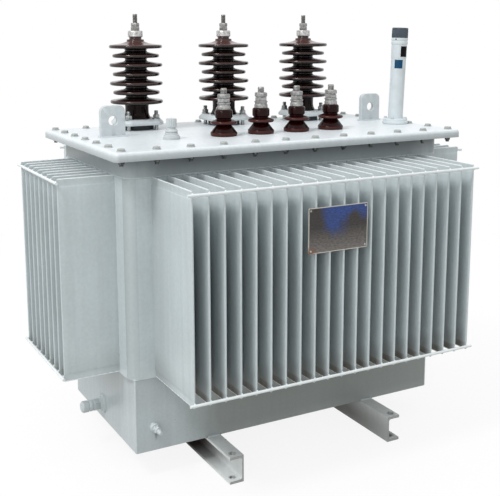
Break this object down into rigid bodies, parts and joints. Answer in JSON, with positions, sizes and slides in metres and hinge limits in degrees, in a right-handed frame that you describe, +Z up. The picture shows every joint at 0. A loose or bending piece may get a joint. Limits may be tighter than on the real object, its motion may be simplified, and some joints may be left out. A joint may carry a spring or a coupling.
{
  "type": "power transformer",
  "caption": "Oil-filled distribution transformer with a finned sealed tank on channel skids, a bolted cover, porcelain bushings, lifting lugs and an oil gauge.",
  "frame": {"origin": "on the ground under the middle of the tank", "axes": "+X along the long front to the right, -Y out of the front with the low-voltage bushings, +Z up"},
  "size_m": [1.388, 1.05, 1.296],
  "materials": {
    "tank_paint": "satin enamel",
    "cover_paint": "satin enamel",
    "seal_rubber": "moulded",
    "brown_porcelain": "brown glaze",
    "red_porcelain": "red brown glaze",
    "tinned_terminal": "dull tinned",
    "zinc_steel": "zinc plated",
    "white_plastic": "moulded",
    "grey_plastic": "moulded"
  },
  "bodies": {
    "root": {"tank_base": "tank_paint", "tank_wall": "tank_paint", "tank_collar": "tank_paint", "tank_flange": "tank_paint", "front_fin_bank": "tank_paint", "back_fin_bank": "tank_paint", "left_fin_bank": "tank_paint", "right_fin_bank": "tank_paint", "front_tie_rods": "tank_paint", "back_tie_rods": "tank_paint", "left_tie_rods": "tank_paint", "right_tie_rods": "tank_paint", "left_skid": "tank_paint", "right_skid": "tank_paint", "drain_neck": "tank_paint", "drain_cap": "tank_paint", "cover": "cover_paint", "left_lifting_lug": "cover_paint", "right_lifting_lug": "cover_paint", "hv_clamp_a": "cover_paint", "hv_clamp_b": "cover_paint", "hv_clamp_c": "cover_paint", "cover_gasket": "seal_rubber", "hv_seat_a": "seal_rubber", "hv_seat_b": "seal_rubber", "hv_seat_c": "seal_rubber", "hv_bushing_a": "brown_porcelain", "hv_bushing_b": "brown_porcelain", "hv_bushing_c": "brown_porcelain", "lv_bushing_a": "red_porcelain", "lv_bushing_b": "red_porcelain", "lv_bushing_c": "red_porcelain", "lv_bushing_d": "red_porcelain", "hv_terminal_a": "tinned_terminal", "hv_terminal_b": "tinned_terminal", "hv_terminal_c": "tinned_terminal", "lv_terminal_a": "tinned_terminal", "lv_terminal_b": "tinned_terminal", "lv_terminal_c": "tinned_terminal", "lv_terminal_d": "tinned_terminal", "earth_stud": "zinc_steel", "tap_changer_knob": "white_plastic", "gauge_flange": "white_plastic", "gauge_tube": "white_plastic", "gauge_head": "grey_plastic"}
  },
  "joints": []
}
